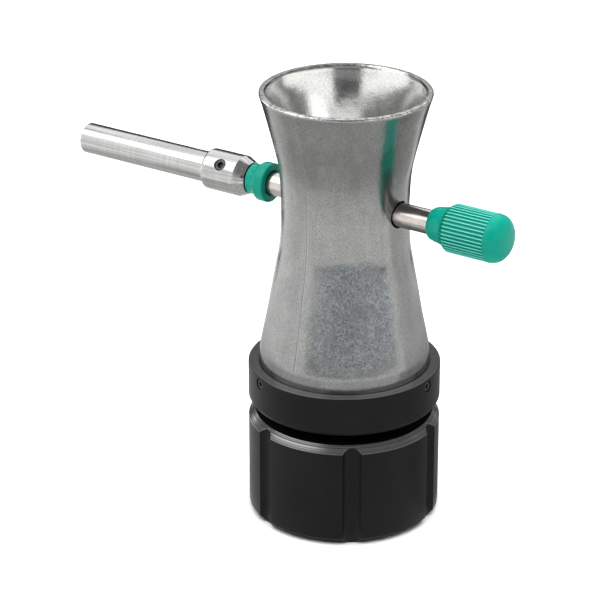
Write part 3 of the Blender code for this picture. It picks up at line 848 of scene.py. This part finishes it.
def feed_tube():
    x0, x1 = tube_lo[0], tube_hi[0]
    bore, lead = 2.85, 2.4
    line = rounded([(TUBE_R, x1, 0.15), (TUBE_R, x0, 0.15), (bore, x0, 0.05)], count=3)
    inner = [(bore, x0 + 0.3 * k) for k in range(1, int((x1 - x0) / 0.3))]
    line = [(TUBE_R - 0.15, x1)] + dense(line[3:], 3.0)[1:] + inner + [(bore, x1)]

    def radius_of(r, z, a, i):
        if abs(r - bore) > 1e-6 or z < x0 + 0.1 or z > x1 - 0.1:
            return np.full(len(a), r)
        phase = (z / lead - a / TAU) % 1.0
        return bore - 0.28 * np.clip(1 - np.abs(phase - 0.5) / 0.22, 0, 1)

    obj = revolve("feed_tube", line, even(64), radius_of, closed=True, along_x=True, shift_z=TUBE_Z)
    cutters = []
    for x, direction in ((-4.5, 1), (0.0, -1), (4.5, 1)):
        cutters.append(turned_cutter([(0, 2.2), (1.5, 2.2), (1.4, -2.0), (0, -2.0)], at(x=x, z=TUBE_Z + direction * TUBE_R) if direction > 0 else at(x=x, z=TUBE_Z + direction * TUBE_R) @ Matrix.Rotation(math.pi, 4, "X"), 32))
    subtract(obj, cutters)
    smooth(dress(obj, STEEL), 35)
    return piece(obj, "feed_tube", "steel_tube", "trickler_tube")


feed_tube()

RIBS = 40


def knob():
    x0, x1 = knob_lo[0], knob_hi[0]
    end = 45.3
    dome_start = 50.30
    dome = []
    for k in range(0, 19):
        a = math.pi / 2 * k / 18
        dome.append(((KNOB_R - 0.05) * math.sin(a) ** 0.80 if k else 0.0, dome_start + (x1 - dome_start) * math.cos(a)))
    side = [(KNOB_R - 0.02, 50.20), (KNOB_R - 0.02, 50.08)]
    body = rounded([
        (KNOB_R, 50.0), (KNOB_R, 36.7, 0.9), (5.75, 34.85, 0.5), (5.35, 33.3, 1.5), (5.10, 31.8, 2.0), (4.75, 30.5, 0.9), (4.35, x0, 0.2), (3.80, x0, 0.05),
        (3.80, end), (0, end),
    ], count=6)
    line = dome + side + dense(body[:-2], 0.30) + [(3.80, end), (0, end)]

    def radius_of(r, z, a, i):
        if not (35.0 < z < 50.06) or r < 5.5:
            return np.full(len(a), r)
        start = min(1.0, max(0.0, (z - 35.0) / 0.35))
        stop = min(1.0, max(0.0, (50.06 - z) / 0.20))
        phase = (a * RIBS / TAU) % 1.0
        # narrow flat crest, sloping flanks, wider valley
        t = np.clip((np.abs(phase - 0.5) - 0.09) / 0.19, 0, 1)
        return r - 0.48 * (t * t * (3 - 2 * t)) * start * stop

    obj = revolve("ribbed_knob", line, even(RIBS * 16), radius_of, closed=False, along_x=True, shift_z=TUBE_Z)
    smooth(dress(obj, GREEN_KNOB), 50)
    return piece(obj, "feed_tube", "green_plastic", "knob")


knob()


def collar():
    x0, x1 = col_lo[0], col_hi[0]
    R = COLLAR_R
    profile = [
        (3.82, x1, 0.12), (R, x1, 0.55), (R, x1 - 3.3, 0.9), (4.95, x1 - 4.1, 0.5), (4.55, x1 - 5.0, 0.8), (4.55, x0, 0.25),
        (3.82, x0, 0.1),
    ]
    obj = along("green_stop_collar", profile, 128, material=GREEN, step=1.0)
    return piece(obj, "stop_collar", "green_plastic", "stop_collar")


collar()


def extension():
    x0 = ext_lo[0]
    hub0, cone, hub1 = -48.0, -36.2, ext_hi[0]
    profile = [
        (4.75, hub1, 0.12), (HUB_R, cone, 0.25), (HUB_R, hub0, 0.75), (4.62, hub0, 0.15), (4.675, hub0 - 0.5, 0.1), (4.675, x0, 0.3), (3.3, x0, 0.2),
        (3.3, -55.3), (3.9, -55.3), (3.9, hub1, 0.1),
    ]
    line = dense(rounded(profile, closed=True, count=5), 2.5, closed=True)

    def radius_of(r, z, a, i):
        return np.full(len(a), r)

    obj = revolve("turned_extension_tube", line, even(144), radius_of, closed=True, along_x=True, shift_z=TUBE_Z)
    tilt = at(x=-41.5, z=TUBE_Z) @ Matrix.Rotation(math.radians(50), 4, "X")
    cutter = turned_cutter([(0, 9), (1.85 + 2.9, 9), (1.85, HUB_R - 0.18), (1.85, 2.0), (0, 2.0)], tilt, 48)
    subtract(obj, [cutter])
    smooth(dress(obj, TURNED), 35)
    piece(obj, "extension", "turned_aluminium", "extension_tube")
    screw = hex_screw("hub_set_screw", 1.80, TUBE_R + 0.2, HUB_R - 0.30, 0.9, tilt)
    piece(screw, "extension", "black_screw", "extension_screw")


extension()

# ------------------------------------------------------------------ inner CAD pieces kept as they are, with their own looks
for node, material in (("friction_ring", RUBBER), ("guide_washer", ZINC), ("stem_screw", OXIDE), ("stop_screw", OXIDE)):
    dress(nodes[node], material)

# ------------------------------------------------------------------ camera
camera_data = bpy.data.cameras.new("camera")
camera = bpy.data.objects.new("camera", camera_data)
scene.collection.objects.link(camera)
scene.camera = camera
camera_data.sensor_width = 36.0
camera_data.lens = 156.0
camera_data.clip_start = 0.05
camera_data.clip_end = 50
DISTANCE, HEIGHT, AIM_Z, PAN, ROLL = 0.7015, 0.3764, 0.0666, 0.0188, -0.0011
place = Vector((DISTANCE * math.sin(CAM_AZ), -DISTANCE * math.cos(CAM_AZ), HEIGHT))
forward = (Vector((0, 0, AIM_Z)) - place).normalized()
forward = Matrix.Rotation(PAN, 3, "Z") @ forward
right = forward.cross(Vector((0, 0, 1))).normalized()
up = right.cross(forward)
right2 = math.cos(ROLL) * right + math.sin(ROLL) * up
up2 = -math.sin(ROLL) * right + math.cos(ROLL) * up
camera.matrix_world = Matrix.Translation(place) @ Matrix((right2, up2, -forward)).transposed().to_4x4()

# ------------------------------------------------------------------ stage and light
F = Vector((math.sin(CAM_AZ), -math.cos(CAM_AZ), 0))     # towards the camera
S = Vector((math.cos(CAM_AZ), math.sin(CAM_AZ), 0))      # to the camera's right


def bearing(degrees):
    """Unit vector on the level: 0 towards the camera, 90 to its right."""
    a = math.radians(degrees)
    return F * math.cos(a) + S * math.sin(a)


floor_mesh = bpy.data.meshes.new("floor")
half = 6.0
floor_mesh.from_pydata([(-half, -half, 0), (half, -half, 0), (half, half, 0), (-half, half, 0)], [], [(0, 1, 2, 3)])
floor = bpy.data.objects.new("floor", floor_mesh)
scene.collection.objects.link(floor)
m = Mat("floor_paper")
floor.data.materials.append(m.set(color=(0.93, 0.93, 0.93), rough=0.9, specular=0.1))


def emitter(name, verts, faces, colour, strength):
    mesh = bpy.data.meshes.new(name)
    mesh.from_pydata(verts, [], faces)
    obj = bpy.data.objects.new(name, mesh)
    scene.collection.objects.link(obj)
    material = bpy.data.materials.new(name)
    material.use_nodes = True
    tree = material.node_tree
    tree.nodes.clear()
    emission = tree.nodes.new("ShaderNodeEmission")
    emission.inputs["Color"].default_value = (*colour, 1)
    emission.inputs["Strength"].default_value = strength
    output = tree.nodes.new("ShaderNodeOutputMaterial")
    tree.links.new(emission.outputs[0], output.inputs[0])
    mesh.materials.append(material)
    obj.visible_camera = False
    obj.visible_diffuse = False
    obj.visible_shadow = False
    return obj


def card(name, first, last, distance, low, high, colour, strength, arched=False):
    """A curved card standing round the table from one bearing to another, which only reflections see."""
    count = 40
    verts, faces = [], []
    for k in range(count + 1):
        t = 2 * k / count - 1
        d = bearing(first + (last - first) * k / count) * distance
        verts += [(d.x, d.y, low), (d.x, d.y, low + (high - low) * (max(0.0, 1 - t**4) ** 0.5 if arched else 1.0) + 0.0005)]
    for k in range(count):
        faces.append((2 * k, 2 * k + 2, 2 * k + 3, 2 * k + 1))
    return emitter(name, verts, faces, colour, strength)


def ground_card(name, first, last, near, far, strength):
    """A sheet just over the paper that only reflections see: it sets how bright the table looks in the metal."""
    count = max(6, int((last - first) / 6))
    verts, faces = [], []
    for k in range(count + 1):
        d = bearing(first + (last - first) * k / count)
        verts += [(d.x * near, d.y * near, 0.0004), (d.x * far, d.y * far, 0.0004)]
    for k in range(count):
        faces.append((2 * k, 2 * k + 1, 2 * k + 3, 2 * k + 2))
    return emitter(name, verts, faces, (1.0, 1.0, 0.985), strength)


card("low_dark_strip", -54, 74, 0.49, 0.001, 0.062, (0.74, 0.88, 1.0), 0.20, arched=True)
card("white_card_front", -70, 90, 0.50, 0.001, 0.128, (1.0, 1.0, 0.98), 1.5)
card("white_card_side", -98, -62, 0.52, 0.001, 0.30, (1.0, 1.0, 0.98), 1.35)
card("high_dark_card", -21, 17, 0.50, 0.129, 0.290, (0.92, 0.96, 1.0), 0.05)
card("high_white_left", -105, -24, 0.51, 0.130, 0.35, (1.0, 1.0, 0.98), 1.35)
card("high_white_right", 20, 105, 0.51, 0.130, 0.35, (1.0, 1.0, 0.98), 1.35)
card("low_white_right", 90, 150, 0.53, 0.001, 0.085, (1.0, 1.0, 0.97), 1.15)
card("grey_card_right", 92, 150, 0.52, 0.086, 0.42, (1.0, 1.0, 0.97), 0.38)
card("white_card_left", -138, -98, 0.55, 0.001, 0.16, (1.0, 0.99, 0.95), 3.8)
card("dark_card_back", 142, 222, 0.24, 0.001, 0.205, (1.0, 1.0, 1.0), 0.06)
ground_card("ground_card_near", -180, 66, 0.031, 0.180, 0.74)
ground_card("ground_card_middle", -180, 72, 0.180, 0.225, 1.02)
ground_card("ground_card_far", -180, 84, 0.225, 2.5, 1.42)
ground_card("ground_card_near_right", 66, 180, 0.031, 0.165, 0.42)
ground_card("ground_card_middle_right", 72, 180, 0.165, 0.215, 0.60)
ground_card("ground_card_far_right", 84, 180, 0.215, 2.5, 0.95)

world = bpy.data.worlds.new("studio")
scene.world = world
world.use_nodes = True
world.node_tree.nodes["Background"].inputs["Color"].default_value = (1, 1, 1, 1)
world.node_tree.nodes["Background"].inputs["Strength"].default_value = 0.32


def area(name, degrees, elevation, distance, size, energy, height=0.08, colour=(1, 1, 1), glossy=True, diffuse=True):
    light = bpy.data.lights.new(name, "AREA")
    light.shape = "RECTANGLE"
    light.size, light.size_y = size
    light.energy = energy
    light.color = colour
    obj = bpy.data.objects.new(name, light)
    scene.collection.objects.link(obj)
    e = math.radians(elevation)
    direction = bearing(degrees) * math.cos(e) + Vector((0, 0, 1)) * math.sin(e)
    obj.location = Vector((0, 0, height)) + direction * distance
    obj.rotation_euler = direction.to_track_quat("Z", "Y").to_euler()
    obj.visible_camera = False
    obj.visible_glossy = glossy
    obj.visible_diffuse = diffuse
    return obj


area("softbox_back", 180, 50, 1.2, (1.4, 1.2), 7.2, diffuse=False)
area("softbox_left", -82, 50, 1.1, (0.85, 0.85), 6.2, diffuse=False)
area("fill_overhead", 0, 88, 1.5, (2.6, 2.6), 76.0, glossy=False)

scene.view_settings.view_transform = "Standard"
scene.view_settings.look = "None"
